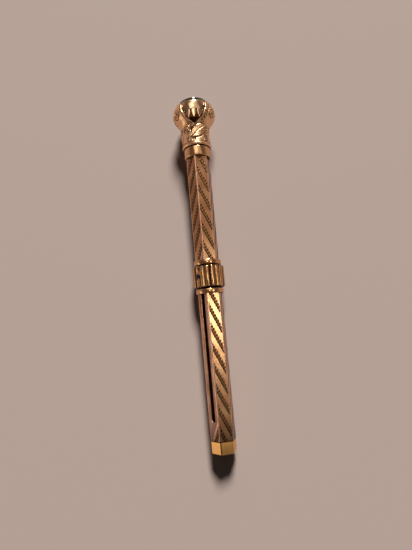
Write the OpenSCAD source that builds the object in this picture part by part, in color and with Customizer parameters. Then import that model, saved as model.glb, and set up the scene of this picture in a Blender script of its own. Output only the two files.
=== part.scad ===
// Slide pencil: a hexagonal engine-turned case with a seal finial. A reeded ring on
// the outside runs down a slot and pushes the writing nozzle out of the mouth. Turning
// the nose cone feeds the lead, and the finial unscrews to open the spare-lead well.
// Each piece is drawn upright round its axis, with the mouth at height 0 and the seal
// on top. laid_down() then turns the pencil onto its side, with the seal towards +Y.

/* [Barrel] */
// Width of the hexagonal barrel across its flats
barrel_flats = 5.5; // [5.2:0.1:6]
// Wall of the barrel
barrel_wall = 0.4; // [0.35:0.05:0.45]
// Length of the barrel, from the mouth band to its top end
barrel_len = 73.4; // [70:0.1:80]
// Length of the plain mouth band
mouth_len = 3; // [2.5:0.1:4]
// How far the mouth band's flats lie below the barrel's
mouth_step = 0.05; // [0:0.01:0.1]
// How far the mouth bush reaches into the barrel
bush_grip = 1.2; // [1:0.1:2]
// Width of the slot that the slide pin runs in
slot_w = 1.1; // [1.06:0.01:1.3]
// Turn of the slotted flat from straight up, to the left, as the pencil lies
slot_turn = 45; // [30:1:60]
// Length of the ferrule round the top of the barrel
ferrule_len = 2.75; // [2:0.05:4]
// Outside diameter of the ferrule
ferrule_d = 6.9; // [6.8:0.05:7.6]

/* [Engine turning] */
// Distance from one diagonal band to the next, along the barrel
band_pitch = 4.87; // [4.5:0.01:5.2]
// Height of the lowest band above the mouth band
band_first = 0.35; // [0.2:0.05:1]
// Slope of the bands from the barrel's length
band_slope = 21; // [16:1:30]
// Distance between the two cuts of a band, along the barrel
cut_gap = 1.8; // [1.5:0.1:2.2]
// Width of the wide cut, which holds the row of dots
wide_cut_w = 0.36; // [0.3:0.02:0.5]
// Width of the narrow cut
narrow_cut_w = 0.2; // [0.16:0.02:0.28]
// Depth of the cuts
cut_depth = 0.09; // [0.06:0.01:0.12]
// Plain margin beside each corner of the barrel
face_margin = 0.22; // [0.18:0.02:0.4]

/* [Slide] */
// Travel of the slide, from closed to writing
slide_travel = 34.5; // [32:0.5:36]
// Space left between the slide and the mouth band at full travel
slide_stop = 0.5; // [0.3:0.1:1]
// Length of the sleeve that carries the reeded ring
sleeve_len = 8.5; // [8:0.1:10]
// Outside diameter of the sleeve
sleeve_d = 7; // [6.9:0.05:7.1]
// Length of the reeded ring
ring_len = 5.2; // [4.6:0.1:6]
// Diameter of the ring over its reeds
ring_d = 8.1; // [8:0.1:8.6]
// Number of reeds round the ring
reed_count = 18; // [16:1:24]
// Depth of the reeds
reed_depth = 0.3; // [0.2:0.02:0.36]
// Diameter of the slide pin's shank
pin_d = 0.9; // [0.7:0.05:0.95]
// Diameter of the slide pin's head
pin_head_d = 1.24; // [1.1:0.02:1.5]
// Length of the carriage inside the barrel
carriage_len = 9; // [8:0.1:10]

/* [Pencil] */
// Outside diameter of the feed tube and of the nose cone's shoulder
feed_tube_d = 3.6; // [3.5:0.02:3.64]
// Wall of the feed tube
feed_tube_wall = 0.35; // [0.3:0.01:0.4]
// Wall of the slit tube that turns inside the feed tube
slit_tube_wall = 0.3; // [0.25:0.01:0.35]
// Width of the two slits
slit_w = 0.7; // [0.6:0.05:0.9]
// Length of the nose cone
nose_len = 12; // [10:0.5:14]
// Diameter of the nose cone at its tip
nose_tip_d = 1.9; // [1.8:0.05:2.2]
// How far the nose cone's tip lies inside the mouth when closed
tip_inset = 1; // [0.8:0.1:2]
// Diameter of the lead
lead_d = 1.2; // [0.9:0.05:1.3]
// Wall of the cup that grips the lead
cup_wall = 0.2; // [0.15:0.01:0.25]
// Length of the push rod behind the lead
rod_len = 18; // [16:0.5:20]
// How far the lead stands out of the nose cone
lead_out = 0.6; // [0.3:0.1:0.7]
// Travel of the lead feed
feed_travel = 6; // [4:0.5:8]

/* [Finial] */
// Height of the finial, from its foot to the seal's face
finial_h = 13; // [12.7:0.1:13.6]
// Height of the waist above the foot
waist_h = 4.4; // [4:0.1:4.6]
// Height of the bulb's widest part above the foot
bulb_h = 9.4; // [9.2:0.1:9.8]
// Radius of the bulb's side below its widest part
bulb_round = 3.4; // [3.3:0.05:3.6]
// Radius of the petals' side above the bulb's widest part
petal_round = 4.6; // [4.2:0.1:5]
// Diameter of the finial's foot
foot_d = 7.7; // [7.5:0.02:8.2]
// Diameter of the finial's waist
waist_d = 7.2; // [7:0.05:7.4]
// Diameter of the finial over its petals
bulb_d = 11.2; // [11:0.1:11.6]
// Number of petals round the finial
petal_count = 3; // [3:1:4]
// Height of the petals above the foot
petal_h = 11.8; // [11.4:0.1:11.9]
// Height above the foot where two petals part
petal_part_h = 5.6; // [5.6:0.1:6.2]
// Height above the foot where the sides of the gap turn upright
petal_turn_h = 9.3; // [9:0.1:9.7]
// Width of the gap between two petals at that height
petal_gap_w = 6.4; // [6:0.1:6.8]
// Height of the collet's seat above the foot
collet_h = 5.5; // [5.3:0.1:5.6]
// Diameter of the collet that holds the seal
collet_d = 9; // [8.8:0.05:9.1]
// Diameter of the seal stone
seal_d = 8.2; // [7.8:0.05:8.3]
// How far the seal stone stands out of its collet
seal_out = 1; // [0.8:0.05:1.1]
// Diameter of the finial's threaded stem
stem_d = 3.3; // [3:0.05:3.5]
// Length of the stem below the finial's foot
stem_len = 3.8; // [3:0.1:4.5]

/* [Fits] */
// Clearance between pieces that move on each other
run_gap = 0.08; // [0.05:0.01:0.09]
// Clearance between pieces that are soldered or pressed together
fit_gap = 0.02; // [0.01:0.01:0.03]
// Gap between faces that meet end to end
seat_gap = 0.05; // [0.03:0.01:0.1]

/* [Hidden] */
$fn = 96;

gold = "#c8935a";
rose_gold = "#b07f5c";
brass = "#b5904c";
steel = "#55565a";
stone_green = "#1f2a1c";
graphite = "#2f2f31";

// How far a cut runs past the solid it cuts
past = 1;

// Widths of the barrel
hex_sides = 6;
hex_face_turn = 180 / hex_sides;
slot_angle = -90 - slot_turn;
bore_flats = barrel_flats - 2 * barrel_wall;
face_w = barrel_flats * tan(hex_face_turn);

// Heights along the pencil
barrel_top = mouth_len + barrel_len;
washer_t = 0.3;
washer_inset = 0.15;
ferrule_top = barrel_top + seat_gap + washer_t;
foot_z = ferrule_top + seat_gap;
overall = foot_z + finial_h;
slide_z = mouth_len + slide_stop + slide_travel;
pin_z = slide_z + sleeve_len / 2;
carriage_z = slide_z + bush_grip;
carriage_top = carriage_z + carriage_len;

// Slide pin: its head sits on a thin floor left in the ring
pin_floor = 0.1;
pin_seat_r = sleeve_d / 2 + fit_gap + pin_floor;

// Slot
slot_bottom = pin_z - slide_travel - pin_d / 2 - run_gap;
slot_top = pin_z + pin_d / 2 + run_gap;

// Engine turning: the panel of a flat between its margins, and the middle of the lowest band
panel_w = face_w - 2 * face_margin;
band_start = mouth_len + band_first;

// Pencil mechanism
feed_tube_z = tip_inset + nose_len + seat_gap;
slit_tube_d = feed_tube_d - 2 * feed_tube_wall - 2 * seat_gap;
slit_tube_bore = slit_tube_d - 2 * slit_tube_wall;
nose_socket = 2.4;
nose_shoulder = 3.2;
nose_flutes = 14;
nose_flute_d = 0.5;
collar_z = carriage_top + seat_gap;
collar_t = 0.8;
slit_tube_top = collar_z + collar_t;
follower_t = 1;
follower_end = 3;
follower_z = slit_tube_top - follower_end - follower_t;
follower_lug_w = slit_w - 2 * run_gap;
slit_z = follower_z - feed_travel - run_gap;
slit_top = follower_z + follower_t + run_gap;
rod_d = 1;
cup_d = lead_d + 2 * fit_gap + 2 * cup_wall;
cup_len = 3;
lead_grip = 2;
cup_z = follower_z + follower_t - rod_len - lead_grip - fit_gap;
reservoir_floor_gap = 1;
reservoir_floor_z = slit_tube_top + reservoir_floor_gap;
reservoir_floor_t = 1.2;

// Drag spring, a bowed strip in a pocket of the carriage
spring_t = 0.12;
spring_w = 1.4;
spring_len = 7;
spring_pocket = 0.3;
spring_rise = barrel_flats / 2 - barrel_wall - seat_gap - (carriage_flats() / 2 - spring_pocket + fit_gap);

// Finial outline
bulb_z = foot_z + bulb_h;
waist_z = foot_z + waist_h;
foot_round = 0.42;
petal_top = foot_z + petal_h;
petal_part_z = foot_z + petal_part_h;
leaf_h = 5.2;
leaf_w = 2.2;
leaf_rise = 0.24;
leaf_lean = 50;
leaf_turn = 10;
stem_socket = 3;
neck_bush_len = stem_len + 1;

// Collet and seal
collet_z = foot_z + collet_h;
collet_top = foot_z + finial_h - seal_out;
collet_foot_d = waist_d - 0.4;
collet_taper = 2.4;
seal_depth = 1.6;
seal_bevel = 0.3;

function carriage_flats() = bore_flats - 2 * run_gap;
function hex_corners(flats) = flats / cos(hex_face_turn);

// A point's turn round the axis, where 0 is straight up and left is positive
function turn_from_up(a) = -90 - a;

module laid_down() {
    translate([0, -overall / 2, 0]) rotate([-90, 0, 0]) children();
}

// A hexagonal prism with one flat towards the slot
module hex_prism(flats, z, h) {
    translate([0, 0, z]) rotate(slot_angle - hex_face_turn)
        cylinder(d = hex_corners(flats), h = h, $fn = hex_sides);
}

module disc(d, z, h) {
    translate([0, 0, z]) cylinder(d = d, h = h);
}

// A round hole or pin that points out from the axis towards the slotted flat
module radial_pin(d, from, to) {
    rotate(slot_angle) translate([from, 0, pin_z]) rotate([0, 90, 0]) cylinder(d = d, h = to - from);
}

// A round-bottomed straight cut across a flat. It lies along local X, at height 0 of the flat.
module flat_cut(w, length) {
    cutter_r = (w * w / 4 + cut_depth * cut_depth) / (2 * cut_depth);
    translate([-length / 2, 0, cutter_r - cut_depth]) rotate([0, 90, 0]) cylinder(r = cutter_r, h = length);
}

// Diagonal bands on one flat, by number from the mouth. Each is a wide cut with a narrow one
// below it. side is 1 or -1.
module engine_turning(side, bands) {
    cut_len = panel_w / sin(band_slope) - wide_cut_w / tan(band_slope);
    for (band = bands, cut = [[0, wide_cut_w], [cut_gap, narrow_cut_w]])
        translate([0, 0, band_start + band * band_pitch - cut[0]])
            rotate([0, 90, 0]) rotate(-side * band_slope) flat_cut(cut[1], cut_len);
}

module barrel() {
    last_band = floor((barrel_top - band_start) / band_pitch);
    above_slot = ceil((slot_top + panel_w / tan(band_slope) / 2 - band_start) / band_pitch);
    color(rose_gold) difference() {
        hex_prism(barrel_flats, mouth_len, barrel_len);
        hex_prism(bore_flats, mouth_len - past, barrel_len + 2 * past);
        rotate(slot_angle) {
            translate([0, -slot_w / 2, slot_bottom + slot_w / 2])
                cube([barrel_flats, slot_w, slot_top - slot_bottom - slot_w]);
            for (z = [slot_bottom + slot_w / 2, slot_top - slot_w / 2])
                translate([0, 0, z]) rotate([0, 90, 0]) cylinder(d = slot_w, h = barrel_flats);
        }
        for (face = [0 : hex_sides - 1])
            rotate(slot_angle + face * 360 / hex_sides) translate([barrel_flats / 2, 0, 0])
                engine_turning(
                    face % 2 == 0 ? 1 : -1,
                    [for (band = [0 : last_band]) if (face > 0 || band == 0 || band >= above_slot) band]
                );
    }
}

module mouth_band() {
    color(gold) difference() {
        hex_prism(barrel_flats - 2 * mouth_step, 0, mouth_len - fit_gap);
        hex_prism(bore_flats, -past, mouth_len + 2 * past);
    }
}

// The bush inside the mouth: it joins the band to the barrel and guides the nozzle
module mouth_bush() {
    bush_z = 0.5;
    lead_in = 0.3;
    bore = feed_tube_d + 2 * run_gap;
    color(brass) difference() {
        hex_prism(bore_flats - 2 * fit_gap, bush_z, mouth_len + bush_grip - bush_z);
        disc(bore, -past, mouth_len + bush_grip + 2 * past);
        translate([0, 0, bush_z - fit_gap]) cylinder(d1 = bore + 2 * lead_in, d2 = bore, h = lead_in);
    }
}

module neck_ferrule() {
    edge = 0.3;
    color(gold) difference() {
        translate([0, 0, ferrule_top - ferrule_len]) rotate_extrude() {
            square([ferrule_d / 2 - edge, ferrule_len]);
            translate([0, edge]) square([ferrule_d / 2, ferrule_len - 2 * edge]);
            for (z = [edge, ferrule_len - edge])
                translate([ferrule_d / 2 - edge, z]) circle(r = edge);
        }
        hex_prism(barrel_flats + 2 * fit_gap, ferrule_top - ferrule_len - past, ferrule_len + 2 * past);
    }
}

// The threaded bush in the top of the barrel, which the finial's stem screws into
module neck_bush() {
    color(brass) difference() {
        hex_prism(bore_flats - 2 * fit_gap, barrel_top - neck_bush_len, neck_bush_len);
        disc(stem_d + 2 * run_gap, barrel_top - neck_bush_len - past, neck_bush_len + 2 * past);
    }
}

module reservoir_floor() {
    color(brass) hex_prism(bore_flats - 2 * fit_gap, reservoir_floor_z, reservoir_floor_t);
}

// The limit that bevels the ends of the reeds. Between its bevels it stands clear of them.
module reed_limit() {
    bevel = 0.25;
    clear_r = ring_d / 2 + bevel;
    rotate_extrude() polygon([
        [0, 0], [clear_r - 2 * bevel, 0], [clear_r, 2 * bevel],
        [clear_r, ring_len - 2 * bevel], [clear_r - 2 * bevel, ring_len], [0, ring_len]
    ]);
}

module slide_ring() {
    root_d = ring_d - 2 * reed_depth;
    reed_r = PI * root_d / 2 / reed_count;
    end_recess = 0.4;
    end_recess_w = 0.15;
    end_recess_d = sleeve_d + 2 * end_recess_w;
    ring_z = pin_z - ring_len / 2;
    color(gold) difference() {
        translate([0, 0, ring_z]) intersection() {
            linear_extrude(ring_len) {
                circle(d = root_d);
                for (reed = [0 : reed_count - 1])
                    rotate(slot_angle + reed * 360 / reed_count)
                        translate([ring_d / 2 - reed_r, 0]) circle(r = reed_r);
            }
            reed_limit();
        }
        disc(sleeve_d + 2 * fit_gap, ring_z - past, ring_len + 2 * past);
        for (z = [ring_z - past, ring_z + ring_len - end_recess])
            disc(end_recess_d, z, end_recess + past);
        radial_pin(pin_head_d + 2 * fit_gap, pin_seat_r, ring_d);
        radial_pin(pin_d + 2 * fit_gap, sleeve_d / 4, ring_d);
    }
}

// The sleeve: round outside, with a hexagonal hole that runs on the barrel. Its ends show
// beyond the ring as two plain collars, each parted from the ring by a groove.
module slide_sleeve() {
    edge = 0.3;
    groove_w = 0.55;
    groove_depth = 0.12;
    groove_z = (sleeve_len - ring_len) / 2 - groove_w + 0.1;
    color(gold) difference() {
        translate([0, 0, slide_z]) rotate_extrude() difference() {
            union() {
                square([sleeve_d / 2 - edge, sleeve_len]);
                translate([0, edge]) square([sleeve_d / 2, sleeve_len - 2 * edge]);
                for (z = [edge, sleeve_len - edge])
                    translate([sleeve_d / 2 - edge, z]) circle(r = edge);
            }
            for (z = [groove_z, sleeve_len - groove_z - groove_w])
                translate([sleeve_d / 2 - groove_depth, z]) square([past, groove_w]);
        }
        hex_prism(barrel_flats + 2 * run_gap, slide_z - past, sleeve_len + 2 * past);
        radial_pin(pin_d + 2 * fit_gap, 0, sleeve_d);
    }
}

module slide_pin() {
    head_sunk = 0.12;
    head_seat = pin_seat_r + fit_gap;
    color(steel) {
        radial_pin(pin_d, feed_tube_d / 2 + 2 * fit_gap, head_seat + fit_gap);
        radial_pin(pin_head_d, head_seat, ring_d / 2 - head_sunk);
    }
}

// The carriage: a hexagonal block that slides in the barrel and holds the feed tube
module carriage() {
    color(brass) difference() {
        hex_prism(carriage_flats(), carriage_z, carriage_len);
        disc(feed_tube_d + 2 * fit_gap, carriage_z - past, carriage_len + 2 * past);
        radial_pin(pin_d + 2 * fit_gap, 0, barrel_flats);
        rotate(slot_angle + 180)
            translate([
                carriage_flats() / 2 - spring_pocket, -spring_w / 2 - run_gap,
                carriage_z + carriage_len / 2 - spring_len / 2 - run_gap
            ])
            cube([spring_pocket + past, spring_w + 2 * run_gap, spring_len + 2 * run_gap]);
    }
}

// A bowed steel strip: its ends lie in the carriage's pocket and its crown rubs on the
// barrel, so that the slide stays where it is put.
module drag_spring() {
    half = spring_len / 2;
    rise = spring_rise - spring_t;
    bow_r = (half * half + rise * rise) / (2 * rise);
    floor_x = carriage_flats() / 2 - spring_pocket + fit_gap;
    color(steel) rotate(slot_angle + 180)
        translate([floor_x, -spring_w / 2, carriage_z + carriage_len / 2])
        intersection() {
            translate([rise - bow_r, 0, 0]) rotate([-90, 0, 0]) difference() {
                cylinder(r = bow_r + spring_t, h = spring_w);
                translate([0, 0, -past]) cylinder(r = bow_r, h = spring_w + 2 * past);
            }
            translate([0, -past, -half]) cube([spring_rise + past, spring_w + 2 * past, spring_len]);
        }
}

module feed_tube() {
    color(gold) difference() {
        disc(feed_tube_d, feed_tube_z, carriage_top - feed_tube_z);
        disc(feed_tube_d - 2 * feed_tube_wall, feed_tube_z - past, carriage_top - feed_tube_z + 2 * past);
    }
}

// The nose cone: a fluted shoulder to turn it by, a slim cone, and the lead's guide hole
module nose_cone() {
    shoulder_z = nose_len - nose_shoulder;
    neck_step = 0.25;
    neck_d = feed_tube_d - 2 * neck_step;
    flute_stop = 0.2;
    flute_len = nose_shoulder - nose_socket / 2 - flute_stop;
    tip_round = 0.25;
    color(gold) translate([0, 0, tip_inset]) difference() {
        rotate_extrude() polygon([
            [0, 0], [nose_tip_d / 2 - tip_round, 0], [nose_tip_d / 2, tip_round],
            [neck_d / 2, shoulder_z - tip_round], [neck_d / 2, shoulder_z],
            [feed_tube_d / 2 - tip_round, shoulder_z], [feed_tube_d / 2, shoulder_z + tip_round],
            [feed_tube_d / 2, nose_len], [0, nose_len]
        ]);
        disc(lead_d + 2 * run_gap, -past, nose_len);
        disc(slit_tube_d + 2 * fit_gap, nose_len - nose_socket, nose_socket + past);
        for (flute = [0 : nose_flutes - 1])
            rotate(flute * 360 / nose_flutes)
                translate([feed_tube_d / 2 + nose_flute_d / 4, 0, shoulder_z - past])
                cylinder(d = nose_flute_d, h = past + flute_len, $fn = 32);
    }
}

// The tube that turns with the nose cone. Its two slits carry the feed follower round.
module slit_tube() {
    front = tip_inset + nose_len - nose_socket + fit_gap;
    color(brass) difference() {
        disc(slit_tube_d, front, slit_tube_top - front);
        disc(slit_tube_bore, front - past, slit_tube_top - front + 2 * past);
        translate([-slit_tube_d, -slit_w / 2, slit_z]) cube([2 * slit_tube_d, slit_w, slit_top - slit_z]);
    }
}

// The ring on the back end of the slit tube, which keeps it in the feed tube
module retaining_collar() {
    color(brass) difference() {
        disc(feed_tube_d, collar_z, collar_t);
        disc(slit_tube_d + 2 * fit_gap, collar_z - past, collar_t + 2 * past);
    }
}

module push_rod() {
    color(steel) disc(rod_d, follower_z + follower_t - rod_len, rod_len);
}

// The follower rides in the slits. Its two lugs reach the thread of the feed tube.
module feed_follower() {
    lug_reach = feed_tube_d - 2 * feed_tube_wall - 2 * seat_gap;
    color(brass) difference() {
        union() {
            disc(slit_tube_bore - 2 * run_gap, follower_z, follower_t);
            translate([0, 0, follower_z]) intersection() {
                cylinder(d = lug_reach, h = follower_t);
                translate([-lug_reach, -follower_lug_w / 2, 0])
                    cube([2 * lug_reach, follower_lug_w, follower_t]);
            }
        }
        disc(rod_d + 2 * fit_gap, follower_z - past, follower_t + 2 * past);
    }
}

// The cup that joins the lead to the push rod
module lead_cup() {
    color(brass) difference() {
        disc(cup_d, cup_z, cup_len);
        disc(lead_d + 2 * fit_gap, cup_z - past, lead_grip + past);
        disc(rod_d + 2 * fit_gap, cup_z, cup_len + past);
    }
}

module lead() {
    point = 0.5;
    lead_z = tip_inset - lead_out;
    color(graphite) {
        disc(lead_d, lead_z + point, cup_z + lead_grip - lead_z - point);
        translate([0, 0, lead_z]) cylinder(d1 = lead_d / 2, d2 = lead_d, h = point);
    }
}

// The washer between the finial's foot and the top of the barrel
module finial_washer() {
    color(brass) difference() {
        disc(barrel_flats - 2 * washer_inset, barrel_top + seat_gap, washer_t);
        disc(stem_d + 2 * run_gap, barrel_top, washer_t + past);
    }
}

// Half of the finial's outline: a foot that draws in to the waist, then a hollow that runs into
// the round side of the petals. grow moves the outline outwards.
module finial_outline(grow) {
    foot_run = (foot_d - waist_d) / 2;
    foot_arc = (waist_h * waist_h + foot_run * foot_run) / (2 * foot_run);
    bulb_x = bulb_d / 2 - bulb_round;
    waist_run = waist_d / 2 - bulb_x;
    waist_drop = bulb_z - waist_z;
    waist_round = (waist_run * waist_run + waist_drop * waist_drop - bulb_round * bulb_round)
        / (2 * (bulb_round - waist_run));
    waist_x = waist_d / 2 + waist_round;
    meet = bulb_round / (bulb_round + waist_round);
    meet_z = bulb_z + (waist_z - bulb_z) * meet;
    meet_x = bulb_x + (waist_x - bulb_x) * meet;
    lap = 0.1;
    difference() {
        translate([0, foot_z]) square([foot_d, waist_h]);
        translate([waist_d / 2 + foot_arc, waist_z]) circle(r = foot_arc - grow);
    }
    difference() {
        translate([0, waist_z]) square([meet_x + grow, meet_z - waist_z]);
        translate([waist_x, waist_z]) circle(r = waist_round - grow);
    }
    translate([0, meet_z - lap]) square([bulb_x, bulb_z - meet_z + lap]);
    intersection() {
        translate([bulb_x, bulb_z]) circle(r = bulb_round + grow);
        translate([0, meet_z - lap]) square([bulb_d, bulb_z - meet_z + lap]);
    }
    intersection() {
        translate([bulb_d / 2 - petal_round, bulb_z]) circle(r = petal_round + grow);
        translate([0, bulb_z]) square([bulb_d, petal_top - bulb_z]);
    }
}

// A pointed leaf as seen from outside, centred on the origin
module leaf_outline() {
    arc_r = (leaf_h * leaf_h / 4 + leaf_w * leaf_w / 4) / leaf_w;
    intersection() {
        translate([arc_r - leaf_w / 2, 0]) circle(r = arc_r);
        translate([leaf_w / 2 - arc_r, 0]) circle(r = arc_r);
    }
}

// The collet's outside: a tapered seat and a straight band. grow moves it outwards.
module collet_outline(base_z, top_z, grow) {
    polygon([
        [0, base_z], [collet_foot_d / 2 + grow, base_z],
        [collet_d / 2 + grow, collet_z + collet_taper], [collet_d / 2 + grow, top_z], [0, top_z]
    ]);
}

// The gap between two petals as seen from outside: a V that grows steeper and runs on nearly upright
module petal_gap() {
    flare = 0.2;
    knee_x = petal_gap_w / 3;
    knee_h = 1.7;
    side = petal_gap_w / 2;
    turn_h = petal_turn_h - petal_part_h;
    polygon([
        [0, 0], [knee_x, knee_h], [side, turn_h], [side + flare, finial_h],
        [-side - flare, finial_h], [-side, turn_h], [-knee_x, knee_h]
    ]);
}

// The finial's cast shell: petals clasp the collet, and a leaf lies aslant below each gap
module finial_shell() {
    gap_root = waist_d / 4;
    leaf_sink = 0.8;
    leaf_root = waist_d / 2 - leaf_sink;
    leaf_z = waist_z - 1;
    color(gold) difference() {
        union() {
            rotate_extrude() {
                finial_outline(0);
                translate([foot_d / 2 - foot_round, foot_z + foot_round]) circle(r = foot_round);
                translate([0, foot_z]) square([foot_d / 2 - foot_round, 2 * foot_round]);
            }
            for (petal = [0 : petal_count - 1])
                rotate(turn_from_up(-leaf_turn) + petal * 360 / petal_count) intersection() {
                    rotate_extrude() finial_outline(leaf_rise);
                    translate([leaf_root, 0, leaf_z]) rotate([90, 0, 90])
                        linear_extrude(bulb_d) rotate(-leaf_lean) leaf_outline();
                }
        }
        for (petal = [0 : petal_count - 1])
            rotate(turn_from_up(0) + petal * 360 / petal_count)
                translate([gap_root, 0, petal_part_z]) rotate([90, 0, 90])
                linear_extrude(bulb_d) petal_gap();
        rotate_extrude() collet_outline(collet_z, overall, fit_gap);
        disc(stem_d + 2 * fit_gap, foot_z - past, stem_socket + past);
    }
}

module finial_stem() {
    color(brass) disc(stem_d, foot_z - stem_len, stem_len + stem_socket - fit_gap);
}

// The collet: a polished cup round the stone, with a bevelled rim
module seal_collet() {
    rim_bevel = 0.2;
    color(gold) difference() {
        rotate_extrude() {
            collet_outline(collet_z + seat_gap, collet_top - rim_bevel, 0);
            polygon([
                [0, collet_top - rim_bevel], [collet_d / 2, collet_top - rim_bevel],
                [collet_d / 2 - rim_bevel, collet_top], [0, collet_top]
            ]);
        }
        disc(seal_d + 2 * fit_gap, collet_top - seal_depth, seal_depth + past);
    }
}

module seal_stone() {
    seat_z = collet_top - seal_depth + seat_gap;
    color(stone_green) {
        disc(seal_d, seat_z, collet_top - seat_z);
        translate([0, 0, collet_top]) cylinder(d1 = seal_d, d2 = seal_d - 2 * seal_bevel, h = seal_out);
    }
}

laid_down() barrel();
laid_down() mouth_band();
laid_down() mouth_bush();
laid_down() neck_ferrule();
laid_down() neck_bush();
laid_down() reservoir_floor();
laid_down() slide_ring();
laid_down() slide_sleeve();
laid_down() slide_pin();
laid_down() carriage();
laid_down() drag_spring();
laid_down() feed_tube();
laid_down() nose_cone();
laid_down() slit_tube();
laid_down() retaining_collar();
laid_down() push_rod();
laid_down() feed_follower();
laid_down() lead_cup();
laid_down() lead();
laid_down() finial_washer();
laid_down() finial_shell();
laid_down() finial_stem();
laid_down() seal_collet();
laid_down() seal_stone();
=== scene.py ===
import bmesh
import bpy
import numpy as np
from mathutils import Matrix, Vector


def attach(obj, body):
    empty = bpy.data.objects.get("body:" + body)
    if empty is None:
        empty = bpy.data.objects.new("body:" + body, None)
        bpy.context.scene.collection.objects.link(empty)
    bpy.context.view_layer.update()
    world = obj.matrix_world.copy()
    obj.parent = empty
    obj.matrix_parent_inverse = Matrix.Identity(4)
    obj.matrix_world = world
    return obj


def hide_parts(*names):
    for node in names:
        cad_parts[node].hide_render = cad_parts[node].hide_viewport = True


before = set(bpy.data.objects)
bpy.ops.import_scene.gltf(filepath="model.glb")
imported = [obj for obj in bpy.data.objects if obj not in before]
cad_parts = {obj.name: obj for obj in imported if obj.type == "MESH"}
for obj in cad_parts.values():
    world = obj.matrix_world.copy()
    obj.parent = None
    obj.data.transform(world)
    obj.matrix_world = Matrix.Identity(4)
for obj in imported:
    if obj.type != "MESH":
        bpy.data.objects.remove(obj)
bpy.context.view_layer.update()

# BARREL. The case is a hexagonal tube of rose gold, drawn over a mandrel. An engine cut slanting bands
# into its flats, and turned them the other way on every second flat. The corners stayed as plain rails,
# and a slot was sawn down one flat for the slide.
mouth_to_middle = 44.9  # from the mouth to the object's origin: all sizes are in mm
barrel_low, barrel_high = 3.0, 76.4  # heights are above the mouth
flat_half, bore_half = 2.75, 2.35  # from the axis to a flat, outside and inside
slot_turn = -45.0  # degrees from straight up, clockwise seen from the mouth
corner_round, corner_points = 0.2, 6
rail_w, panel_edge = 0.22, 0.03  # a flat's plain border, and the run in which the cuts end
band_runs = ((-1.64, 4.87, 10), (48.13, 5.08, 7))  # first band, pitch and count, below and above the slide
band_slope = np.radians(25)
# The real dots are about 0.62 mm apart. They are drawn 0.8 mm apart so that they show.
dot_pitch, dot_depth, dot_row_gap, dot_steps = 0.8, 0.14, 0.6, 6
dot_radii = (0.29, 0.22)  # the upper row, and the lower one along the thin cut
line_cut_w, line_cut_depth = 0.16, 0.05
plain_row_at = 0.4  # a grid row on a band's plain part, as a share of the pitch
slot_low, slot_high, slot_half = 7.22, 42.78, 0.62
saw_in, saw_out = 1.2, 4.0  # from the axis to the ends of the saw's cut
plain_below, plain_above = 2.0, 4.0  # the slotted flat stays plain this far past the slot's ends


def linear(code):
    """An sRGB hex colour as linear RGBA: each channel runs back through the sRGB curve."""
    srgb = np.array([int(code[start:start + 2], 16) for start in (1, 3, 5)]) / 255
    rgb = np.where(srgb <= 0.04045, srgb / 12.92, ((srgb + 0.055) / 1.055) ** 2.4)
    return (*rgb.tolist(), 1.0)


def set_inputs(tree, node, links):
    """Gives each input that links names a plain value or another node's output."""
    for name, value in links.items():
        if isinstance(value, bpy.types.NodeSocket):
            tree.links.new(value, node.inputs[name])
        else:
            node.inputs[name].default_value = value


def add_node(tree, kind, links, **settings):
    """Adds one shader node of a kind with its settings, and fills its inputs."""
    node = tree.nodes.new("ShaderNode" + kind)
    for name, value in settings.items():
        setattr(node, name, value)
    set_inputs(tree, node, links)
    return node


def new_material(name):
    """A material with one shader on its output, ready for what feeds it."""
    material = bpy.data.materials.new(name)
    material.use_nodes = True
    tree = material.node_tree
    tree.nodes.clear()
    shader = add_node(tree, "BsdfPrincipled", {})
    add_node(tree, "OutputMaterial", {"Surface": shader.outputs["BSDF"]})
    return material, tree, shader


def to_metres(points):
    """Points in mm, with their height above the mouth, as metres from the object's origin."""
    return (points - np.array([0, mouth_to_middle, 0])) / 1000


def grid_mesh(name, grid, rows_closed, sharp_angle=35, **marks):
    """A mesh from a grid of points (x, height above the mouth, z). Four neighbours make a face. Each row is
    a closed loop, and the last row joins the first one if rows_closed. Doubled points are merged, and the
    faces are turned outwards. marks are vectors kept on the points."""
    doubled_m, too_short_m = 4e-7, 2e-7
    rows, columns = grid.shape[:2]
    index = np.arange(rows * columns).reshape(rows, columns)
    index = np.concatenate([index, index[:, :1]], axis=1)
    if rows_closed:
        index = np.concatenate([index, index[:1]])
    corners = (index[:-1, :-1], index[:-1, 1:], index[1:, 1:], index[1:, :-1])
    faces = np.stack(corners, -1).reshape(-1, 4)
    mesh = bpy.data.meshes.new(name)
    mesh.from_pydata(to_metres(grid.reshape(-1, 3)).tolist(), [], faces.tolist())
    for mark, vectors in marks.items():
        layer = mesh.attributes.new(mark, "FLOAT_VECTOR", "POINT")
        layer.data.foreach_set("vector", vectors.ravel().astype(np.float32))
    work = bmesh.new()
    work.from_mesh(mesh)
    bmesh.ops.remove_doubles(work, verts=work.verts, dist=doubled_m)
    bmesh.ops.dissolve_degenerate(work, edges=work.edges, dist=too_short_m)
    bmesh.ops.recalc_face_normals(work, faces=work.faces)
    bmesh.ops.triangulate(work, faces=work.faces, quad_method="SHORT_EDGE")
    work.to_mesh(mesh)
    work.free()
    mesh.polygons.foreach_set("use_smooth", np.ones(len(mesh.polygons), bool))
    mesh.set_sharp_from_angle(angle=np.radians(sharp_angle))
    return mesh


def put(name, data):
    """A new object in the scene."""
    thing = bpy.data.objects.new(name, data)
    bpy.context.scene.collection.objects.link(thing)
    return thing


def place(name, mesh, material, body, node):
    """Puts a mesh into the scene as a piece: it rides on body, takes material as its finish and hides the
    CAD piece node.
    """
    piece = put(name, mesh)
    mesh.materials.clear()
    mesh.materials.append(material)
    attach(piece, body)
    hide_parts(node)


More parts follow.
